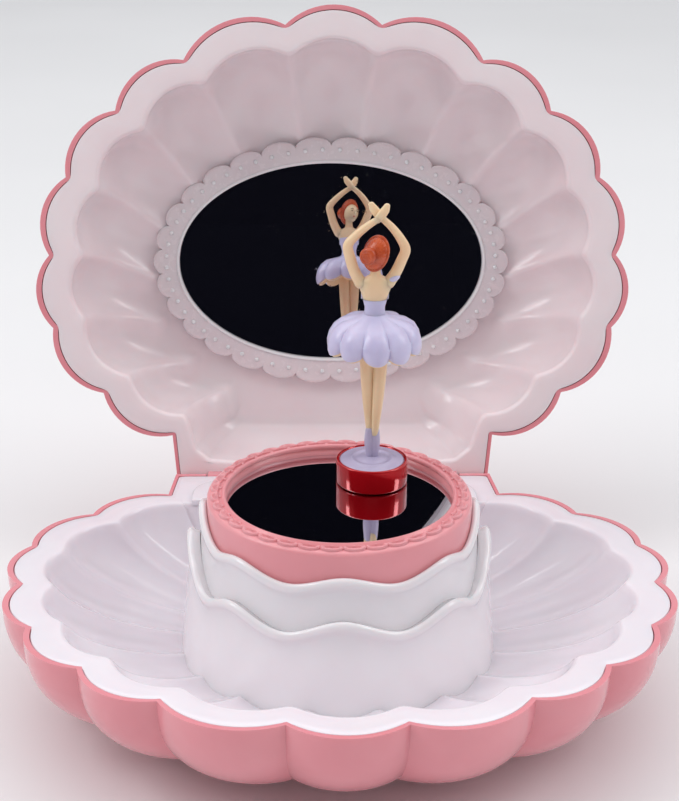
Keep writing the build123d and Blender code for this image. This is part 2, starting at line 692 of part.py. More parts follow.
# ---- write every node ----
RIM_PIECES = {"base_shell": base_shell, "base_tray": base_tray, "bottom_cover": bottom_cover,
              "cover_screws": cover_screws, "rubber_feet": rubber_feet, "hinge_pin": hinge_pin}
STAGE_PIECES = {"lower_tier": lower_tier, "upper_tier": upper_tier, "stage_ring": stage_ring,
                "mirror_deck": mirror_deck, "stage_mirror": stage_mirror, "bedplate": bedplate,
                "standoffs": standoffs, "bearing_brackets": bearing_brackets, "bridge": bridge,
                "bridge_pillars": bridge_pillars, "bridge_screws": bridge_screws, "comb": comb,
                "comb_block": comb_block, "comb_screws": comb_screws, "spring_barrel": spring_barrel,
                "mainspring": mainspring, "winding_arbor": winding_arbor, "winding_key": winding_key,
                "tune_cylinder": tune_cylinder, "governor_fly": governor_fly, "magnet_arm": magnet_arm,
                "drive_magnet": drive_magnet, "stop_rod": stop_rod}
LID_PIECES = {"lid_shell": lid_shell, "lid_liner": lid_liner, "lid_mirror": lid_mirror,
              "lid_mirror_frame": lid_mirror_frame}
FIGURE_PIECES = {"figure_cup": figure_cup, "figure_magnet": figure_magnet, "figure_plate": figure_plate,
                 "figure_legs": figure_legs, "figure_tutu": figure_tutu, "figure_bodice": figure_bodice,
                 "figure_torso": figure_torso, "figure_hair": figure_hair}
ORBIT = math.radians(ORBIT_DEG)
FIGURE_SPOT = Location((ORBIT_R * math.cos(ORBIT), ORBIT_R * math.sin(ORBIT), STAGE_MIRROR_TOP + LIFT))

for node, make in RIM_PIECES.items():
    save(node, RIM_FRAME * make())
for node, make in STAGE_PIECES.items():
    save(node, STAGE * make())
for node, make in LID_PIECES.items():
    save(node, opened(make()))
for node, make in FIGURE_PIECES.items():
    save(node, STAGE * FIGURE_SPOT * make())
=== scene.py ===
"""Looks of the wind-up shell music box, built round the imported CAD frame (metres, +Z up)."""
import bpy
import json
import math
import numpy as np
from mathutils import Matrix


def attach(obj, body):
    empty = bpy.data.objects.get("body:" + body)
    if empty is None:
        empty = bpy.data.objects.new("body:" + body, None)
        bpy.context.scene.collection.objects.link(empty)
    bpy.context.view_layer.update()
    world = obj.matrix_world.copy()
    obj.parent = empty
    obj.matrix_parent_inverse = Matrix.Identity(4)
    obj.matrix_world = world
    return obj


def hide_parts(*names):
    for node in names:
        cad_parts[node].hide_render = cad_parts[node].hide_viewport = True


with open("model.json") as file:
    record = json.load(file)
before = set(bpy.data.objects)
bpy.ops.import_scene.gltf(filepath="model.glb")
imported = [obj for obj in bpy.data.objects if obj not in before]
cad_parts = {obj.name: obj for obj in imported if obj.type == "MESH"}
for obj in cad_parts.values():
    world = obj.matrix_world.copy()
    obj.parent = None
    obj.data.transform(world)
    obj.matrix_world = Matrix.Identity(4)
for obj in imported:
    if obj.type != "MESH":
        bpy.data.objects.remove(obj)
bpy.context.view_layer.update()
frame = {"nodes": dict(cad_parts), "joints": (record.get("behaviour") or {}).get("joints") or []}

MM = 0.001
HINGE_DROP = 3.7
OPEN_DEG = 102.4
HINGE = [j for j in frame["joints"] if j["name"] == "lid_hinge"][0]["pos_m"]
HINGE_Y = HINGE[1] / MM
RIM_Z = HINGE[2] / MM + HINGE_DROP
STAGE_Y = -54.0
UMBO_Y = -36.0
RIM_CENTRE_Y = -60.0
RIM_REACH = 75.0
LOBE_RATIO = 0.205
CUSPS = [(12.5, -120.9), (38.9, -112.0), (56.8, -99.1), (70.1, -81.9),
         (75.0, -61.5), (74.4, -42.2), (61.4, -24.7), (43.1, -13.1)]
INNER_CUSPS = [(11.2, -113.0), (33.6, -105.9), (49.6, -94.1), (61.6, -78.9),
               (66.0, -61.6), (65.7, -44.7), (54.2, -29.3), (38.6, -19.0)]
NECK = [(41.9, -0.5)]
TRAY_BACK = [(38.6, -18.4)]
LINER_BACK = [(37.6, -10.2), (33.0, -6.4), (27.0, -6.0)]
TRAY_CURVE = (29.0, 1.6)
SEAM_INSET = 1.55
TRAY_DEPTH = 23.0
LID_MIRROR_Y = -58.0
MIRROR_FACE = 22.3
LINER_DEPTH = 23.8
LINER_END_SCALE = 0.75
LINER_UMBO_Y = -31.0
FLAT_BEHIND_MIRROR = 0.2
RIDGE_PINCH = 0.02
RIDGE_RISE = 1.9
ORBIT_R = 13.3
ORBIT = math.radians(53.0)
MIRROR_TOP = 17.7
MIRROR_BOW = 0.0007
WAIST_Z = 45.0
HEAD_PIVOT = np.array([0.1, 0.1, 55.0])
DANCER_Z = 17.95
FIGURE_RISE = 0.35
FIGURE_SHRINK = 0.9
LACE_LOBES = 36
RIM_LIP_R = 1.3
PEARLS = 60
SCALLOPS = 30
MIRROR_FLAT_TO = 4.0
TIER_DROP = 5.0


# ---- places ----
def rim_to_row(points):
    """Rim frame (mm, hinge at y = 0, shells meet at z = 0) to the row frame in metres."""
    p = np.asarray(points, float)
    return (p + np.array([0, HINGE_Y, RIM_Z])) * MM


def lid_to_row(points):
    """The same for a piece of the lid drawn closed, swung open about the hinge."""
    p = np.asarray(points, float)
    c, s = math.cos(math.radians(OPEN_DEG)), math.sin(math.radians(OPEN_DEG))
    y, z = p[..., 1], p[..., 2] + HINGE_DROP
    return rim_to_row(np.stack([p[..., 0], y * c + z * s, -y * s + z * c - HINGE_DROP], -1))


def stage_to_row(points):
    return rim_to_row(np.asarray(points, float) + np.array([0, STAGE_Y, 0]))


def dancer_to_row(points):
    """Dancer's own frame: her axis is z, she faces +y, z = 0 is under her disc."""
    spot = np.array([ORBIT_R * math.cos(ORBIT), ORBIT_R * math.sin(ORBIT), DANCER_Z])
    return stage_to_row(np.asarray(points, float) + spot)


def figure_to_row(points):
    """The figure above her disc: drawn a little tall from the waist up, so settled to her real height."""
    p = np.array(points, float)
    p[..., 2] = np.where(p[..., 2] > WAIST_Z, WAIST_Z + (p[..., 2] - WAIST_Z) * FIGURE_SHRINK, p[..., 2])
    p[..., 2] += FIGURE_RISE
    return dancer_to_row(p)


# ---- mesh helpers ----
def mesh_piece(name, verts, faces, place, body, material, replaced=(), crease=38):
    mesh = bpy.data.meshes.new(name)
    mesh.from_pydata([tuple(v) for v in place(verts)], [], faces)
    mesh.validate()
    mesh.update()
    piece = bpy.data.objects.new(name, mesh)
    bpy.context.scene.collection.objects.link(piece)
    mesh.materials.append(material)
    mesh.polygons.foreach_set("use_smooth", [True] * len(mesh.polygons))
    if crease:
        mesh.set_sharp_from_angle(angle=math.radians(crease))
    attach(piece, body)
    if replaced:
        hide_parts(*replaced)
    return piece


def grid(rings, closed_v=False, cap=(False, False)):
    """Vertices and quads joining rings of equal length; each ring is closed."""
    rings = [np.asarray(r, float) for r in rings]
    n = len(rings[0])
    verts = np.concatenate(rings)
    faces = []
    last = len(rings) if closed_v else len(rings) - 1
    for j in range(last):
        k = (j + 1) % len(rings)
        for i in range(n):
            m = (i + 1) % n
            faces.append((j * n + i, j * n + m, k * n + m, k * n + i))
    if cap[0]:
        faces.append(tuple(range(n - 1, -1, -1)))
    if cap[1]:
        faces.append(tuple(range((len(rings) - 1) * n, len(rings) * n)))
    return verts, faces


def joined(parts):
    """One vertex and face list from several."""
    verts, faces, base = [], [], 0
    for v, f in parts:
        verts.append(np.asarray(v, float))
        faces += [tuple(i + base for i in face) for face in f]
        base += len(v)
    return np.concatenate(verts), faces


def turned(profile, count=128, wave=None):
    """Rings of a profile of (radius, z) turned about z; wave(angle, radius, z) may move each point."""
    angle = np.arange(count) * 2 * math.pi / count
    rings = []
    for radius, z in profile:
        r = np.full(count, float(radius))
        h = np.full(count, float(z))
        if wave:
            r, h = wave(angle, r, h)
        rings.append(np.stack([r * np.cos(angle), r * np.sin(angle), h], -1))
    return rings


def arc_profile(cx, cz, radius, start, end, steps=6):
    """Points of (r, z) on an arc, degrees."""
    out = []
    for k in range(steps + 1):
        a = math.radians(start + (end - start) * k / steps)
        out.append((cx + radius * math.cos(a), cz + radius * math.sin(a)))
    return out


def ball(centre, radii, turn=None, segments=28, rows=16):
    """Ellipsoid; turn is an optional 3x3 matrix."""
    profile = [(math.sin(math.pi * (k + 0.5) / rows),
                -math.cos(math.pi * (k + 0.5) / rows)) for k in range(rows)]
    verts, faces = grid(turned(profile, segments), cap=(True, True))
    verts = verts * np.asarray(radii, float)
    if turn is not None:
        verts = verts @ np.asarray(turn).T
    return verts + np.asarray(centre, float), faces


def tube(path, radii, segments=20, flat=1.0):
    """Round limb along a smoothed path; radii given at each path point; ends are rounded."""
    path = np.asarray(path, float)
    radii = np.asarray(radii, float)
    t = np.linspace(0, len(path) - 1, (len(path) - 1) * 6 + 1)
    smooth = np.stack([catmull(path[:, k], t) for k in range(3)], -1)
    rad = catmull(radii, t)
    heading = np.gradient(smooth, axis=0)
    heading /= np.linalg.norm(heading, axis=1)[:, None]
    side = np.cross(heading, np.array([0, 1.0, 0.12]))
    side /= np.linalg.norm(side, axis=1)[:, None]
    up = np.cross(side, heading)
    angle = np.arange(segments) * 2 * math.pi / segments
    rings = []
    for k, (p, r) in enumerate(zip(smooth, rad)):
        rings.append(p + r * (np.cos(angle)[:, None] * side[k] + flat * np.sin(angle)[:, None] * up[k]))
    ends = []
    for k, sign in ((0, -1), (-1, 1)):
        dome = []
        for a in (0.35, 0.7, 1.05, 1.4):
            centre = smooth[k] + sign * heading[k] * rad[k] * math.sin(a)
            dome.append(centre + (rings[k] - smooth[k]) * math.cos(a))
        ends.append(dome)
    return grid(list(reversed(ends[0])) + rings + ends[1], cap=(True, True))


def catmull(values, t):
    """Smooth interpolation of a list at fractional index t."""
    v = np.asarray(values, float)
    i = np.clip(np.floor(t).astype(int), 0, len(v) - 2)
    f = t - i
    p0, p1, p2, p3 = v[np.maximum(i - 1, 0)], v[i], v[i + 1], v[np.minimum(i + 2, len(v) - 1)]
    return 0.5 * (2 * p1 + (p2 - p0) * f + (2 * p0 - 5 * p1 + 4 * p2 - p3) * f ** 2
                  + (3 * p1 - p0 - 3 * p2 + p3) * f ** 3)


# ---- shell outline ----
def lobe_points(a, b, away_from, count):
    """Points on the arc from a towards b (b left out), bulging away from a centre."""
    a, b = np.asarray(a, float), np.asarray(b, float)
    chord = b - a
    length = np.linalg.norm(chord)
    sag = LOBE_RATIO * length
    radius = (length ** 2 / 4 + sag ** 2) / (2 * sag)
    out = np.array([chord[1], -chord[0]]) / length
    if np.dot(out, (a + b) / 2 - away_from) < 0:
        out = -out
    centre = (a + b) / 2 - out * (radius - sag)
    half = math.asin(length / 2 / radius)
    along = chord / length
    angle = np.linspace(-half, half, count, endpoint=False)
    return centre + radius * (np.sin(angle)[:, None] * along + np.cos(angle)[:, None] * out)


def outline(cusps, back, per_lobe=26, per_line=14, soften=3):
    """Closed outline as points; valleys are softened by local averaging."""
    return outline_and_ridges(cusps, back, per_lobe, per_line, soften)[0]


def outline_and_ridges(cusps, back, per_lobe=26, per_line=14, soften=3):
    """The outline, with 1 at each ridge between two lobes falling to 0 in the middle of a lobe."""
    middle = np.array([0, RIM_CENTRE_Y])
    right = [np.array(p, float) for p in cusps]
    left = [p * np.array([-1, 1]) for p in right]
    across = np.linspace(-1, 1, per_lobe, endpoint=False) ** 2
    parts = [lobe_points(left[0], right[0], middle, per_lobe)]
    ridges = [across]
    for a, b in zip(right, right[1:]):
        parts.append(lobe_points(a, b, middle, per_lobe))
        ridges.append(across)
    neck = [np.array(p, float) for p in back]
    stops = [right[-1]] + neck + [p * np.array([-1, 1]) for p in reversed(neck)] + [left[-1]]
    share = [per_line] * (len(stops) - 1)
    share[len(stops) // 2 - 1] = 4 * per_line
    spare = 8 * per_line - sum(share)
    share[0] += spare // 2
    share[-1] += spare - spare // 2
    for a, b, count in zip(stops, stops[1:], share):
        t = np.linspace(0, 1, count, endpoint=False)[:, None]
        parts.append(a + (b - a) * t)
    away = np.arange(8 * per_line) / 6.0
    ridges.append(np.maximum(np.clip(1 - away, 0, 1), np.clip(1 - away[::-1], 0, 1)) ** 2)
    for a, b in zip(reversed(left[1:]), reversed(left[:-1])):
        parts.append(lobe_points(a, b, middle, per_lobe))
        ridges.append(across)
    points, ridge = np.concatenate(parts), np.concatenate(ridges)
    for _ in range(soften):
        points = (np.roll(points, 1, 0) + 2 * points + np.roll(points, -1, 0)) / 4
        ridge = (np.roll(ridge, 1) + 2 * ridge + np.roll(ridge, -1)) / 4
    return points, ridge


def inset(points, distance):
    k = 1 - distance / RIM_REACH
    return np.stack([points[:, 0] * k, RIM_CENTRE_Y + (points[:, 1] - RIM_CENTRE_Y) * k], -1)


def scaled(points, k, centre_y, z):
    return np.stack([points[:, 0] * k, centre_y + (points[:, 1] - centre_y) * k, np.full(len(points), z)], -1)


def curve_scale(depth, curve):
    height, power = curve
    return max(0.0, 1 - (depth / height) ** power) ** (1 / power)


# ---- materials ----
def material(name):
    mat = bpy.data.materials.new(name)
    mat.use_nodes = True
    tree = mat.node_tree
    return mat, tree, tree.nodes["Principled BSDF"]


def moulded(name, colour, deep=None, rough=0.22, coat=0.4, sss=0.0, grain=0.04, metallic=0.0, scale=60):
    """Moulded plastic: slow colour drift, fine roughness mottle and a faint orange-peel surface."""
    mat, tree, shader = material(name)
    nodes, links = tree.nodes, tree.links
    coords = nodes.new("ShaderNodeTexCoord")
    drift = nodes.new("ShaderNodeTexNoise")
    drift.inputs["Scale"].default_value = scale
    drift.inputs["Detail"].default_value = 3.0
    links.new(coords.outputs["Object"], drift.inputs["Vector"])
    ramp = nodes.new("ShaderNodeValToRGB")
    deep = deep or tuple(c * 0.94 for c in colour)
    ramp.color_ramp.elements[0].position = 0.35
    ramp.color_ramp.elements[0].color = (*deep, 1)
    ramp.color_ramp.elements[1].position = 0.65
    ramp.color_ramp.elements[1].color = (*colour, 1)
    links.new(drift.outputs["Fac"], ramp.inputs["Fac"])
    links.new(ramp.outputs["Color"], shader.inputs["Base Color"])
    mottle = nodes.new("ShaderNodeTexNoise")
    mottle.inputs["Scale"].default_value = scale * 12
    mottle.inputs["Detail"].default_value = 4.0
    links.new(coords.outputs["Object"], mottle.inputs["Vector"])
    spread = nodes.new("ShaderNodeMapRange")
    spread.inputs["To Min"].default_value = max(0.02, rough - 0.05)
    spread.inputs["To Max"].default_value = rough + 0.06
    links.new(mottle.outputs["Fac"], spread.inputs["Value"])
    links.new(spread.outputs["Result"], shader.inputs["Roughness"])
    bump = nodes.new("ShaderNodeBump")
    bump.inputs["Strength"].default_value = grain
    bump.inputs["Distance"].default_value = 0.0004
    peel = nodes.new("ShaderNodeTexNoise")
    peel.inputs["Scale"].default_value = scale * 5
    links.new(coords.outputs["Object"], peel.inputs["Vector"])
    links.new(peel.outputs["Fac"], bump.inputs["Height"])
    links.new(bump.outputs["Normal"], shader.inputs["Normal"])
    shader.inputs["Coat Weight"].default_value = coat
    shader.inputs["Coat Roughness"].default_value = 0.06
    shader.inputs["Metallic"].default_value = metallic
    if sss:
        shader.inputs["Subsurface Weight"].default_value = sss
        shader.inputs["Subsurface Radius"].default_value = (1.0, 0.55, 0.5)
        shader.inputs["Subsurface Scale"].default_value = 0.003
    return mat


PINK = moulded("pink_gloss", (0.80, 0.29, 0.33), (0.77, 0.26, 0.30), rough=0.2, coat=0.5, sss=0.15,
               grain=0.03)
PINK_RING = moulded("pink_ring", (0.84, 0.34, 0.37), (0.80, 0.31, 0.34), rough=0.3, coat=0.25, sss=0.2,
                    grain=0.05)
PINK_SATIN = moulded("pink_satin", (0.76, 0.28, 0.32), rough=0.45, coat=0.0, grain=0.15, scale=90)
TRAY = moulded("tray_white", (0.84, 0.79, 0.84), (0.82, 0.75, 0.81), rough=0.2, coat=0.5, sss=0.2, grain=0.03)
TIER = moulded("tier_white", (0.84, 0.80, 0.825), (0.82, 0.775, 0.80), rough=0.16, coat=0.6, sss=0.25,
               grain=0.03)
LINER = moulded("liner_blush", (0.86, 0.755, 0.775), (0.85, 0.72, 0.745), rough=0.24, coat=0.4, sss=0.3,
                grain=0.04)
FRAME = moulded("frame_white", (0.80, 0.71, 0.73), (0.77, 0.67, 0.70), rough=0.26, coat=0.3, sss=0.35,
                grain=0.03)
BEAD_WHITE = moulded("bead_white", (0.86, 0.82, 0.84), rough=0.2, coat=0.5, sss=0.2)
RED = moulded("cup_red", (0.55, 0.004, 0.010), (0.48, 0.003, 0.008), rough=0.14, coat=0.9, grain=0.02,
              metallic=0.35)
LAVENDER = moulded("lavender_tutu", (0.62, 0.58, 0.78), (0.56, 0.52, 0.73), rough=0.3, coat=0.3, sss=0.3,
                   grain=0.06, scale=160)
LAVENDER_GREY = moulded("lavender_plate", (0.50, 0.45, 0.62), (0.45, 0.40, 0.57), rough=0.32, coat=0.3,
                        grain=0.1, scale=200)
SKIN = moulded("skin_peach", (0.86, 0.63, 0.40), (0.83, 0.58, 0.36), rough=0.38, coat=0.15, sss=0.35,
               grain=0.06, scale=160)
HAIR = moulded("hair_orange", (0.62, 0.10, 0.025), (0.42, 0.05, 0.012), rough=0.28, coat=0.4, grain=0.3,
               scale=420)
LIP = moulded("lip_red", (0.55, 0.06, 0.06), rough=0.35, coat=0.2)
EYE = moulded("eye_dark", (0.03, 0.022, 0.02), rough=0.25, coat=0.5)
RUBBER = moulded("foot_rubber", (0.035, 0.033, 0.033), rough=0.75, coat=0.0, grain=0.4, scale=300)
BRASS = moulded("movement_brass", (0.62, 0.44, 0.17), (0.52, 0.36, 0.13), rough=0.3, coat=0.0, metallic=1.0,
                grain=0.1, scale=250)
STEEL = moulded("movement_steel", (0.50, 0.50, 0.52), (0.42, 0.42, 0.44), rough=0.32, coat=0.0, metallic=1.0,
                grain=0.1, scale=250)
NICKEL = moulded("key_nickel", (0.70, 0.70, 0.72), (0.62, 0.62, 0.64), rough=0.14, coat=0.0, metallic=1.0,
                 grain=0.05, scale=250)
NYLON = moulded("white_nylon", (0.75, 0.75, 0.72), rough=0.5, coat=0.0, sss=0.2)
FERRITE = moulded("magnet_black", (0.03, 0.03, 0.032), rough=0.45, coat=0.1, metallic=0.3)


def silvered():
    """Mirror with the faintest dust and polish haze."""
    mat, tree, shader = material("mirror_glass")
    nodes, links = tree.nodes, tree.links
    coords = nodes.new("ShaderNodeTexCoord")
    dust = nodes.new("ShaderNodeTexNoise")
    dust.inputs["Scale"].default_value = 900.0
    dust.inputs["Detail"].default_value = 5.0
    links.new(coords.outputs["Object"], dust.inputs["Vector"])
    haze = nodes.new("ShaderNodeMapRange")
    haze.inputs["From Min"].default_value = 0.62
    haze.inputs["From Max"].default_value = 0.8
    haze.inputs["To Min"].default_value = 0.012
    haze.inputs["To Max"].default_value = 0.12
    links.new(dust.outputs["Fac"], haze.inputs["Value"])
    links.new(haze.outputs["Result"], shader.inputs["Roughness"])
    shader.inputs["Base Color"].default_value = (0.80, 0.81, 0.84, 1)
    shader.inputs["Metallic"].default_value = 1.0
    return mat


MIRROR = silvered()


# ---- the two shells ----
def bowl_rings(back, scale_of, depth, centre_y, z_sign, steps=34, soften=3):
    """White moulding: flat rim, rounded inner edge and fluted bowl."""
    rim = inset(outline(CUSPS, NECK), SEAM_INSET)
    edge, ridge = outline_and_ridges(INNER_CUSPS, back, soften=soften)
    rings = [scaled(rim, 1.0, centre_y, z_sign * 1.8), scaled(rim, 1.0, centre_y, z_sign * 0.3),
             scaled(inset(rim, 0.12), 1.0, centre_y, z_sign * 0.08), scaled(inset(rim, 0.4), 1.0, centre_y,
                                                                      0)]
    wide = inset(edge, -RIM_LIP_R)
    for k in (0.33, 0.66, 1.0):
        rings.append(scaled(inset(rim, 0.4) * (1 - k) + wide * k, 1.0, centre_y, 0))
    for a in (22, 45, 68):
        lean = math.radians(a)
        rings.append(scaled(inset(edge, -RIM_LIP_R * (1 - math.sin(lean))), 1.0, centre_y,
                            z_sign * 1.1 * (1 - math.cos(lean))))
    for step in np.linspace(0.06, 1.0, steps):
        here = depth * step
        pinch = 1 - RIDGE_PINCH * ridge * math.sin(math.pi * min(step, 0.75))
        ring = scaled(edge, scale_of(here), centre_y, z_sign * max(here, 1.3))
        ring[:, 0] *= pinch
        ring[:, 1] = centre_y + (ring[:, 1] - centre_y) * pinch
        ring[:, 2] -= z_sign * RIDGE_RISE * ridge * step ** 3
        rings.append(ring)
    return rings


def lid_liner():
    """White lining of the lid, flat where the mirror covers it."""
    def scale_of(here):
        return 1 - (1 - LINER_END_SCALE) * (1 - math.sqrt(1 - (here / LINER_DEPTH) ** 2.2 * 0.96)) / 0.8

    rings = bowl_rings(LINER_BACK, scale_of, LINER_DEPTH, LINER_UMBO_Y, 1)
    last = rings[-1]
    for k in (0.94, 0.9, 0.8, 0.6):
        ring = last * k + np.array([0, LID_MIRROR_Y, 0]) * (1 - k)
        ring[:, 2] = LINER_DEPTH + FLAT_BEHIND_MIRROR
        rings.append(ring)
    verts, faces = grid(rings, cap=(False, True))
    mesh_piece("lid_liner_skin", verts, faces, lid_to_row, "lid", LINER, ("lid_liner",),
               crease=45)


def base_tray():
    """White tray that fills the base shell."""
    def scale_of(here):
        return curve_scale(here, TRAY_CURVE)

    rings = bowl_rings(TRAY_BACK, scale_of, TRAY_DEPTH, UMBO_Y, -1)
    verts, faces = grid(rings, cap=(False, True))
    mesh_piece("base_tray_skin", verts, faces, rim_to_row, "base", TRAY, ("base_tray",),
               crease=45)


# ---- stage ----
def periodic(points):
    """Height against angle from the front, given at degrees 0 to 90 and repeated in every quarter."""
    before, after = points[2:0:-1], points[-2:-4:-1]
    degrees = [-p[0] for p in before] + [p[0] for p in points] + [180 - p[0] for p in after]
    heights = [p[1] for p in before + points + after]
    fine = np.linspace(0, len(degrees) - 1, 600)
    angle_fine = catmull(degrees, fine)
    height_fine = catmull(heights, fine)

    def height(angle):
        from_front = np.degrees(np.abs((angle + math.pi / 2 + math.pi) % (2 * math.pi) - math.pi))
        from_front = np.where(from_front > 90, 180 - from_front, from_front)
        return np.interp(from_front, angle_fine, height_fine)
    return height


LOWER_EDGE = periodic([(0, 4.9), (23, 1.1), (45, 4.5), (62, 1.6), (76, 6.0), (90, 10.3)])
UPPER_EDGE = periodic([(0, 14.1), (23, 11.6), (46, 14.1), (62, 12.6), (76, 14.8), (90, 17.5)])


def tier(name, edge, lip_r, foot_r, foot_z, reach, node):
    """Thin wall with a soft rolled lip along its wavy edge."""
    profile = [(-reach, -9.0), (-reach, -0.95), (-reach + 0.1, -0.75), (-1.55, -0.5), (-1.2, -0.12),
               (-0.8, 0.08), (-0.35, 0.02),
               (0.05, -0.3), (0.28, -0.85), (0.26, -1.45), (0.02, -2.05), (-0.22, -2.6), (-0.3, -3.4), (-0.3,
                                                                      -TIER_DROP)]
    angle = np.arange(360) * 2 * math.pi / 360
    top = edge(angle)
    rings = []
    for dr, dz in profile:
        r = lip_r + dr
        rings.append(np.stack([r * np.cos(angle), r * np.sin(angle), top + dz], -1))
    for k in np.linspace(0.12, 1.0, 10):
        z = (top - TIER_DROP) * (1 - k) + foot_z * k
        r = (lip_r - 0.3) * (1 - k) + foot_r * k
        rings.append(np.stack([r * np.cos(angle), r * np.sin(angle), z], -1))
    verts, faces = grid(rings)
    mesh_piece(name, verts, faces, stage_to_row, "base", TIER, (node,), crease=60)


def tier_shelf():
    profile = [(30.0, -2.0), (34.6, -2.0), (34.6, -3.4), (30.0, -3.4)]
    verts, faces = grid(turned(profile, 160), closed_v=True)
    mesh_piece("lower_tier_shelf", verts, faces, stage_to_row, "base", TIER)


def stage_ring():
    """Pink ring: plain outer wall, lace of scallops and beads on top, rounded inner bead."""
    profile = [(30.5, 3.6), (30.85, 8.0), (30.85, 18.7)] + arc_profile(29.95, 18.7, 0.9, 0, 80, 5)
    profile += [(29.2, 19.62), (28.2, 19.68), (27.6, 19.7)]
    profile += arc_profile(27.0, 19.68, 0.6, 80, 250, 8)
    profile += [(26.85, 18.9), (26.55, 18.55), (26.3, 18.2), (26.25, 17.5), (26.25, 16.4)]
    parts = [grid(turned(profile, 256))]
    for k in range(LACE_LOBES):
        middle = 2 * math.pi * (k + 0.5) / LACE_LOBES
        parts.append(lace_lobe(middle, 2 * math.pi / LACE_LOBES))
        parts.append(ball((27.95 * math.cos(middle), 27.95 * math.sin(middle), 19.72), (0.5, 0.5, 0.42),
                          segments=12, rows=8))
    verts, faces = joined(parts)
    mesh_piece("stage_ring_lace", verts, faces, stage_to_row, "base", PINK_RING,
               ("stage_ring",), crease=40)


def lace_lobe(middle, width):
    """One raised scallop: a low rounded arch whose round edge faces outwards."""
    rings = []
    count = 22
    for grow, z in ((1.0, 19.4), (0.98, 19.95), (0.9, 20.2), (0.76, 20.24), (0.62, 20.05), (0.52, 19.8),
                    (0.3, 19.76)):
        ring = []
        for i in range(count):
            a = 2 * math.pi * i / count
            out = math.cos(a)
            across = math.sin(a) * 0.53 * width * grow
            r = 28.45 + (1.6 * out if out > 0 else 0.25 * out) * grow
            ring.append((r * math.cos(middle + across), r * math.sin(middle + across), z))
        rings.append(ring)
    return grid(rings, cap=(False, True))


def stage_mirror():
    """Round mirror, flat under the dancer and bowed up a little towards the front."""
    rings = []
    angle = np.arange(192) * 2 * math.pi / 192
    for r in np.linspace(0.4, 26.24, 34):
        x, y = r * np.cos(angle), r * np.sin(angle)
        rings.append(np.stack([x, y, MIRROR_TOP + MIRROR_BOW * np.minimum(y - MIRROR_FLAT_TO, 0) ** 2], -1))
    verts, faces = grid(rings, cap=(True, False))
    mesh_piece("stage_mirror_glass", verts, faces, stage_to_row, "base", MIRROR,
               ("stage_mirror",), crease=0)


# ---- lid mirror frame ----
def oval_ring(a, b, z, count, scallops=0, depth=0.0):
    angle = np.arange(count) * 2 * math.pi / count
    grow = 0
    if scallops:
        grow = depth * (np.abs(np.cos(scallops * angle / 2)) ** 0.55 - 1)
    x = (a + grow) * np.cos(angle)
    y = (b + grow) * np.sin(angle)
    return np.stack([x, LID_MIRROR_Y + y, np.full(count, float(z))], -1)


def lid_mirror_frame():
    count = 720
    low = MIRROR_FACE
    rings = [oval_ring(49.2, 34.1, low + 1.45, count, SCALLOPS, 2.1),
             oval_ring(49.3, 34.2, low - 0.35, count, SCALLOPS, 2.1),
             oval_ring(49.1, 34.0, low - 0.7, count, SCALLOPS, 2.1), oval_ring(48.7, 33.6, low - 0.85, count,
                                                                      SCALLOPS, 2.0),
             oval_ring(47.9, 32.8, low - 0.9, count, SCALLOPS, 1.4), oval_ring(46.4, 31.2, low - 1.0, count),
             oval_ring(44.2, 29.2, low - 1.1, count), oval_ring(43.3, 28.3, low - 1.2, count),
             oval_ring(42.9, 27.9, low - 1.2, count)]
    verts, faces = grid(rings)
    mesh_piece("lid_frame_scallops", verts, faces, lid_to_row, "lid", FRAME,
               ("lid_mirror_frame",), crease=50)
    bead = []
    for dr, dz in ((0.9, -1.2), (0.75, -1.45), (0.45, -1.55), (0.12, -1.4), (0.0, -1.0), (0.0, 0.0)):
        bead.append(oval_ring(42.0 + dr, 27.0 + dr, low + dz, 360))
    verts, faces = grid(bead)
    mesh_piece("lid_frame_bead", verts, faces, lid_to_row, "lid", BEAD_WHITE)
    pearls = []
    for k in range(PEARLS):
        a = 2 * math.pi * (k + 0.5) / PEARLS
        centre = (45.7 * math.cos(a), LID_MIRROR_Y + 30.7 * math.sin(a), low - 1.02)
        pearls.append(ball(centre, (0.62, 0.62, 0.5), segments=14, rows=10))
    verts, faces = joined(pearls)
    mesh_piece("lid_frame_pearls", verts, faces, lid_to_row, "lid", BEAD_WHITE)


# ---- neck ----
def rounded_slab(x, y0, y1, z0, z1, radius, bevel, count=10):
    """Plate between -x and x with rounded back corners and a soft top edge."""
    def ring(shrink, z):
        out = []
        for cx, cy, start in ((x - radius, y1 - radius, 0), (-x + radius, y1 - radius, 90)):
            for k in range(count + 1):
                a = math.radians(start + 90 * k / count)
                out.append((cx + (radius - shrink) * math.cos(a), cy + (radius - shrink) * math.sin(a), z))
        out.append((-x + shrink, y0 + shrink, z))
        out.append((x - shrink, y0 + shrink, z))
        return out
    rings = [ring(0, z0), ring(0, z1 - bevel), ring(bevel * 0.3, z1 - bevel * 0.3), ring(bevel, z1)]
    return grid(rings, cap=(True, True))


def neck_pad():
    verts, faces = rounded_slab(36.8, -18.6, -6.4, -0.5, 1.2, 8.0, 0.5)
    mesh_piece("base_neck_pad", verts, faces, rim_to_row, "base", TRAY, crease=50)


# ---- dancer ----
def dancer_cup():
    profile = [(0.6, 0.0), (7.8, 0.0)] + arc_profile(8.1, 0.4, 0.4, -90, 0, 4)
    profile += arc_profile(8.15, 5.45, 0.35, 0, 90, 4) + [(7.85, 5.8), (7.7, 5.65), (7.65, 5.2)]
    verts, faces = grid(turned(profile, 96), cap=(True, False))
    mesh_piece("dancer_cup", verts, faces, dancer_to_row, "dancer", RED, ("figure_cup",))


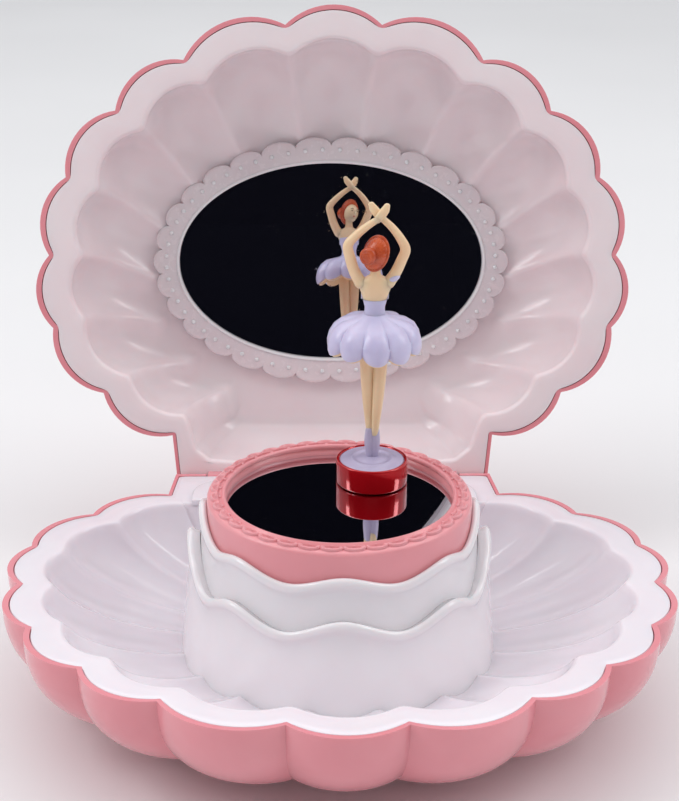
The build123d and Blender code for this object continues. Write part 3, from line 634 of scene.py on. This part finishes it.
def dancer_plate():
    profile = [(7.66, 4.6), (7.6, 5.2), (7.4, 5.36), (6.8, 5.42), (5.4, 5.48), (5.1, 5.7), (4.7, 5.8),
               (4.3, 5.7),
               (4.0, 5.56), (3.5, 5.56), (3.1, 5.76), (2.6, 5.92), (2.1, 6.0), (1.0, 6.1), (0.2, 6.1)]
    parts = [grid(turned(profile, 72), cap=(False, True))]
    for side in (-1, 1):
        path = [(side * 0.55, 0.1, 5.7), (side * 0.6, 0.05, 7.6), (side * 0.65, 0.15, 9.8),
                (side * 0.62, 0.1, 12.6)]
        parts.append(tube(path, [0.8, 1.05, 1.25, 1.05]))
    verts, faces = joined(parts)
    mesh_piece("dancer_plate_and_shoes", verts, faces, figure_to_row, "dancer",
               LAVENDER_GREY,
               ("figure_plate",), crease=60)


def dancer_legs():
    left = [(-0.55, 0.3, 12.0), (-0.9, 0.35, 16.5), (-1.2, 0.4, 21.0), (-1.45, 0.35, 27.0),
            (-1.5, 0.2, 33.0), (-1.3, 0.0, 38.0)]
    right = [(0.5, -0.3, 12.0), (0.8, -0.5, 16.5), (1.1, -0.5, 21.0), (1.4, -0.3, 27.0), (1.5, -0.1, 33.0),
             (1.3, 0.0, 38.0)]
    radii = [0.85, 1.1, 1.35, 1.6, 1.85, 2.0]
    verts, faces = joined([tube(left, radii), tube(right, radii)])
    mesh_piece("dancer_legs", verts, faces, figure_to_row, "dancer", SKIN, ("figure_legs",),
               crease=60)


def tutu_layer(turn, rise, reach):
    """One layer of drooping petals as a closed skin with a thin rounded hem."""
    petals, count = 10, 320
    angle = np.arange(count) * 2 * math.pi / count
    puff = np.abs(np.cos(petals * (angle + math.pi / 2) / 2 + turn)) ** 0.7
    out = []
    for r, z, amount in ((2.5, 41.9, 0.0), (3.4, 41.3, 0.05), (5.4, 40.8, 0.25), (7.9, 40.1, 0.5),
                         (9.7, 38.9, 0.8),
                         (10.8, 37.1, 1.0), (11.2, 35.2, 1.0), (11.15, 33.8, 1.0), (10.8, 32.8, 1.0),
                         (10.2, 32.8, 1.0), (9.7, 34.1, 1.0), (8.6, 36.1, 0.8), (6.0, 37.7, 0.4), (2.5, 38.7,
                                                                      0.0)):
        edge = amount * (puff - 1)
        rr = (r + 1.15 * edge) * (reach if r > 4 else 1.0)
        tip = 1.5 if z < 35.5 else -0.5
        droop = 0.35 * np.cos(3 * angle + 0.6) * (amount if r > 8 else 0)
        zz = z + rise * amount - tip * edge + droop
        out.append(np.stack([rr * np.cos(angle), rr * np.sin(angle), zz], -1))
    return grid(out)


def dancer_tutu():
    """Lavender petals over a bare under-layer."""
    verts, faces = tutu_layer(0.0, 0.0, 1.0)
    mesh_piece("dancer_tutu", verts, faces, figure_to_row, "dancer", LAVENDER,
               ("figure_tutu",), crease=55)
    verts, faces = tutu_layer(0.0, -0.45, 0.93)
    mesh_piece("dancer_underskirt", verts, faces, figure_to_row, "dancer", SKIN, crease=55)


def loft_ovals(levels, count=48):
    """Rings of ovals: (z, half width, half depth, centre y)."""
    z, a, b, y = (np.array(c, float) for c in zip(*levels))
    t = np.linspace(0, len(z) - 1, (len(z) - 1) * 5 + 1)
    z, a, b, y = (catmull(c, t) for c in (z, a, b, y))
    angle = np.arange(count) * 2 * math.pi / count
    rings = []
    for k in range(len(t)):
        rings.append(np.stack([a[k] * np.cos(angle), y[k] + b[k] * np.sin(angle), np.full(count, z[k])], -1))
    return rings


def dancer_bodice():
    levels = [(41.0, 2.9, 2.5, 0.0), (42.2, 2.45, 2.1, 0.0), (43.4, 2.35, 2.0, 0.05), (45.0, 2.75, 2.2, 0.15),
              (46.4, 3.15, 2.45, 0.35), (47.6, 3.2, 2.35, 0.55)]
    rings = loft_ovals(levels)
    for k in range(3):
        rim = rings[-1]
        mid = rim.mean(0)
        rings.append((rim - mid) * 0.93 + mid + np.array([0, 0, 0.1 if k == 0 else -0.2]))
    for ring in rings[-14:]:
        behind = ring[:, 1] < 0.2
        ring[behind, 2] = np.minimum(ring[behind, 2], 45.4)
    verts, faces = grid(rings, cap=(True, True))
    mesh_piece("dancer_bodice", verts, faces, figure_to_row, "dancer", LAVENDER,
               ("figure_bodice",), crease=60)


def turned_head(points):
    """Her head is turned to one side and tipped a little."""
    p = np.asarray(points, float) - HEAD_PIVOT
    turn, tip = math.radians(-32), math.radians(9)
    x, y = p[:, 0] * math.cos(turn) - p[:, 1] * math.sin(turn), p[:, 0] * math.sin(turn) + p[:,
                                                                      1] * math.cos(turn)
    x, z = x * math.cos(tip) + p[:, 2] * math.sin(tip), -x * math.sin(tip) + p[:, 2] * math.cos(tip)
    return np.stack([x, y, z], -1) + HEAD_PIVOT


def dancer_torso():
    chest = [(43.0, 2.1, 1.8, 0.0), (45.0, 2.6, 2.0, 0.1), (47.0, 3.2, 2.15, 0.2), (48.8, 3.8, 2.0, 0.1),
             (50.2, 3.7, 1.75, 0.0), (51.1, 2.4, 1.5, 0.0), (51.8, 1.35, 1.3, 0.0), (53.2, 1.15, 1.2, 0.1),
             (54.4, 1.2, 1.3, 0.2)]
    parts = [grid(loft_ovals(chest), cap=(True, True))]
    head = joined([ball((0.1, 0.35, 57.0), (2.45, 2.65, 3.25)), ball((0.15, 1.0, 55.2), (1.6, 1.6, 1.5)),
                   tube([(0.1, 2.7, 57.4), (0.1, 3.1, 56.9), (0.1, 3.2, 56.6)], [0.22, 0.3, 0.34],
                        segments=10)])
    parts.append((turned_head(head[0]), head[1]))
    arms = {-1: [(-3.3, 0.0, 49.6), (-4.8, 0.1, 52.7), (-5.8, 0.2, 56.2), (-6.3, 0.3, 59.3),
                 (-4.7, 0.3, 61.7),
                 (-2.2, 0.2, 64.2), (0.2, 0.0, 66.1)],
            1: [(3.0, 0.0, 49.6), (4.6, 0.1, 52.3), (5.9, 0.3, 55.5), (6.7, 0.4, 58.3), (5.5, 0.6, 61.1),
                (3.6, 0.9, 63.8), (1.3, 1.2, 66.1)]}
    hands = {-1: [(0.2, 0.0, 66.0), (1.0, -0.1, 67.1), (1.8, -0.1, 68.4), (2.3, -0.1, 69.6)],
             1: [(1.3, 1.2, 66.0), (0.4, 1.2, 67.1), (-0.5, 1.2, 68.4), (-1.1, 1.2, 69.6)]}
    for side in (-1, 1):
        parts.append(tube(arms[side], [1.5, 1.32, 1.25, 1.18, 1.05, 0.92, 0.8], flat=0.92))
        parts.append(tube(hands[side], [0.9, 1.05, 1.05, 0.72], flat=0.6))
    verts, faces = joined(parts)
    mesh_piece("dancer_torso", verts, faces, figure_to_row, "dancer", SKIN, ("figure_torso",),
               crease=70)


def dancer_sleeve():
    """Painted band of the dress off her right-hand shoulder."""
    lean = math.radians(-28)
    matrix = [[math.cos(lean), 0, math.sin(lean)], [0, 1, 0], [-math.sin(lean), 0, math.cos(lean)]]
    verts, faces = ball((4.15, -0.1, 51.0), (1.62, 1.5, 0.95), turn=matrix)
    mesh_piece("dancer_sleeve", verts, faces, figure_to_row, "dancer", LAVENDER)


def dancer_face():
    """A plain painted doll face of soft dots: eyes, brows and lips."""
    eyes, lips = [], []
    for side in (-1, 1):
        eyes.append(ball((0.1 + side * 0.95, 2.62, 57.5), (0.34, 0.2, 0.17), segments=12, rows=8))
        eyes.append(tube([(0.1 + side * 0.5, 2.68, 58.2), (0.1 + side * 0.95, 2.6, 58.4),
                          (0.1 + side * 1.4, 2.3, 58.2)],
                         [0.06, 0.08, 0.05], segments=8))
    lips.append(tube([(-0.45, 2.55, 55.72), (0.1, 2.68, 55.66), (0.65, 2.55, 55.72)], [0.1, 0.2, 0.1],
                     segments=10))
    verts, faces = joined(eyes)
    mesh_piece("dancer_eyes", turned_head(verts), faces, figure_to_row, "dancer", EYE)
    verts, faces = joined(lips)
    mesh_piece("dancer_lips", turned_head(verts), faces, figure_to_row, "dancer", LIP)


def dancer_hair():
    """Hair swept back into a rolled edge, combed into grooves, with a coiled bun behind."""
    rows, count = 30, 104
    angle = np.arange(count) * 2 * math.pi / count
    rings = []
    for k in range(rows):
        lat = math.pi * (k + 0.5) / rows
        comb = 1 + 0.02 * np.cos(26 * angle) * math.sin(lat)
        x = 3.05 * math.sin(lat) * np.cos(angle) * comb
        z = 4.3 * math.sin(lat) * np.sin(angle) * comb
        y = np.full(count, -2.7 * math.cos(lat))
        y = np.where(y > 0, y * 0.45, y)
        rings.append(np.stack([0.1 + x, -0.3 + y + 0.12 * z, 57.5 + z], -1))
    roll = []
    for k in range(12):
        a = 2 * math.pi * k / 12
        r, y = 1 + 0.13 * math.cos(a), 0.42 * math.sin(a)
        roll.append(np.stack([0.1 + 2.9 * r * np.cos(angle), -0.75 + y + 0.5 * r * np.sin(angle),
                              57.5 + 4.15 * r * np.sin(angle)], -1))
    bun = []
    for r, y in ((0.25, -4.0), (0.75, -4.1), (1.0, -3.95), (1.15, -4.05), (1.6, -3.95), (1.9, -3.6),
                 (1.95, -3.0), (1.8, -1.8)):
        bun.append(np.stack([-0.6 + r * np.cos(angle), np.full(count, y), 57.0 + 1.15 * r * np.sin(angle)],
                            -1))
    verts, faces = joined([grid(rings, cap=(True, True)), grid(roll, closed_v=True),
                           grid(bun, cap=(True, False))])
    mesh_piece("dancer_hair", turned_head(verts), faces, figure_to_row, "dancer", HAIR,
               ("figure_hair",), crease=60)


# ---- CAD nodes that keep their own shape ----
def repaint(names, mat):
    for name in names:
        node = frame["nodes"][name]
        for k in range(len(node.material_slots)):
            node.material_slots[k].material = mat


# ---- set ----
def floor_and_reflection_card():
    size = 3.0
    verts = [(-size, -size, 0), (size, -size, 0), (size, size, 0), (-size, size, 0)]
    mesh = bpy.data.meshes.new("floor")
    mesh.from_pydata(verts, [], [(0, 1, 2, 3)])
    floor = bpy.data.objects.new("floor", mesh)
    bpy.context.scene.collection.objects.link(floor)
    mesh.materials.append(moulded("floor_pale", (0.86, 0.86, 0.87), rough=0.6, coat=0.0, grain=0.0, scale=2))
    # Near-black card hidden from the camera, diffuse light and shadows, seen only in glossy reflections: a
    # painted dark reflection.
    reflection_card_material, tree, shader = material("painted_dark_reflection")
    shader.inputs["Base Color"].default_value = (0.004, 0.004, 0.007, 1)
    shader.inputs["Roughness"].default_value = 1.0
    shader.inputs["Specular IOR Level"].default_value = 0.0
    rings = []
    for height, reach in ((0.001, 0.62), (0.2, 0.64), (0.45, 0.60), (0.7, 0.42), (0.85, 0.15), (0.88, 0.02)):
        angle = np.linspace(math.radians(196), math.radians(344), 25)
        rings.append(np.stack([0.95 * reach / 0.62 * np.cos(angle), reach * np.sin(angle),
                               np.full(25, height)], -1))
    faces = []
    for j in range(len(rings) - 1):
        for i in range(24):
            faces.append((j * 25 + i, j * 25 + i + 1, (j + 1) * 25 + i + 1, (j + 1) * 25 + i))
    mesh = bpy.data.meshes.new("painted_dark_reflection")
    mesh.from_pydata([tuple(v) for v in np.concatenate(rings)], [], faces)
    reflection_card = bpy.data.objects.new("painted_dark_reflection", mesh)
    bpy.context.scene.collection.objects.link(reflection_card)
    mesh.materials.append(reflection_card_material)
    reflection_card.visible_camera = False
    reflection_card.visible_diffuse = False
    reflection_card.visible_shadow = False
    reflection_card.visible_transmission = False


def light(name, place, target, size, power, colour=(1, 1, 1)):
    data = bpy.data.lights.new(name, "AREA")
    data.shape = "RECTANGLE"
    data.size, data.size_y = size
    data.energy = power
    data.color = colour
    lamp = bpy.data.objects.new(name, data)
    bpy.context.scene.collection.objects.link(lamp)
    lamp.location = place
    aim(lamp, target)
    return lamp


def aim(thing, target):
    from mathutils import Vector
    way = Vector(target) - thing.location
    thing.rotation_euler = way.to_track_quat("-Z", "Y").to_euler()


def studio():
    world = bpy.data.worlds.new("studio")
    world.use_nodes = True
    back = world.node_tree.nodes["Background"]
    back.inputs["Color"].default_value = (0.95, 0.96, 1.0, 1)
    back.inputs["Strength"].default_value = 0.40
    bpy.context.scene.world = world
    light("ceiling", (0, 0.5, 1.7), (0, 0.5, 0), (2.8, 2.8), 24.0)
    light("key", (-0.75, -0.15, 0.75), (0, 0, 0.06), (0.45, 0.6), 3.4)
    light("fill", (0.8, -0.1, 0.7), (0, 0, 0.06), (0.45, 0.6), 2.6)
    light("front", (0, -1.3, 0.4), (0, 0, 0.06), (0.9, 0.4), 0.8)
    bpy.context.scene.view_settings.view_transform = "Standard"


def camera():
    """Seen from the front, a little above, as on a product table."""
    from mathutils import Matrix
    data = bpy.data.cameras.new("camera")
    data.sensor_width = 36.0
    data.lens = 1642.8 / 801 * 36.0
    data.shift_x = (339.5 - 311.6) / 801
    data.shift_y = (414.2 - 400.5) / 801
    cam = bpy.data.objects.new("camera", data)
    bpy.context.scene.collection.objects.link(cam)
    pitch, yaw, roll = math.radians(22.52), math.radians(0.82), math.radians(0.21)
    look = np.array([math.sin(yaw) * math.cos(pitch), math.cos(yaw) * math.cos(pitch), -math.sin(pitch)])
    right = np.array([math.cos(yaw), -math.sin(yaw), 0])
    up = np.cross(right, look)
    right, up = math.cos(roll) * right + math.sin(roll) * up, -math.sin(roll) * right + math.cos(roll) * up
    place = rim_to_row(np.array([-11.5, -400.4, 183.1]))
    matrix = Matrix(((right[0], up[0], -look[0], place[0]), (right[1], up[1], -look[1], place[1]),
                     (right[2], up[2], -look[2], place[2]), (0, 0, 0, 1)))
    cam.matrix_world = matrix
    data.clip_start = 0.01
    bpy.context.scene.camera = cam


camera()
studio()
floor_and_reflection_card()
lid_liner()
lid_mirror_frame()
base_tray()
neck_pad()
tier("lower_tier_wall", LOWER_EDGE, 35.4, 37.9, -24.0, 2.8, "lower_tier")
tier("upper_tier_wall", UPPER_EDGE, 32.5, 33.4, -1.9, 1.7, "upper_tier")
tier_shelf()
stage_ring()
stage_mirror()
dancer_cup()
dancer_plate()
dancer_legs()
dancer_tutu()
dancer_bodice()
dancer_torso()
dancer_sleeve()
dancer_face()
dancer_hair()
repaint(["base_shell", "lid_shell"], PINK)
repaint(["bottom_cover"], PINK_SATIN)
repaint(["lid_mirror"], MIRROR)
repaint(["rubber_feet"], RUBBER)
repaint(["mirror_deck"], TIER)
repaint(["hinge_pin", "cover_screws", "bridge_screws", "comb_screws", "comb", "comb_block", "mainspring",
         "winding_arbor", "governor_fly", "stop_rod"], STEEL)
repaint(["bedplate", "standoffs", "bearing_brackets", "bridge", "bridge_pillars", "spring_barrel",
         "tune_cylinder"], BRASS)
repaint(["winding_key"], NICKEL)
repaint(["magnet_arm"], NYLON)
repaint(["drive_magnet", "figure_magnet"], FERRITE)

bpy.context.view_layer.update()
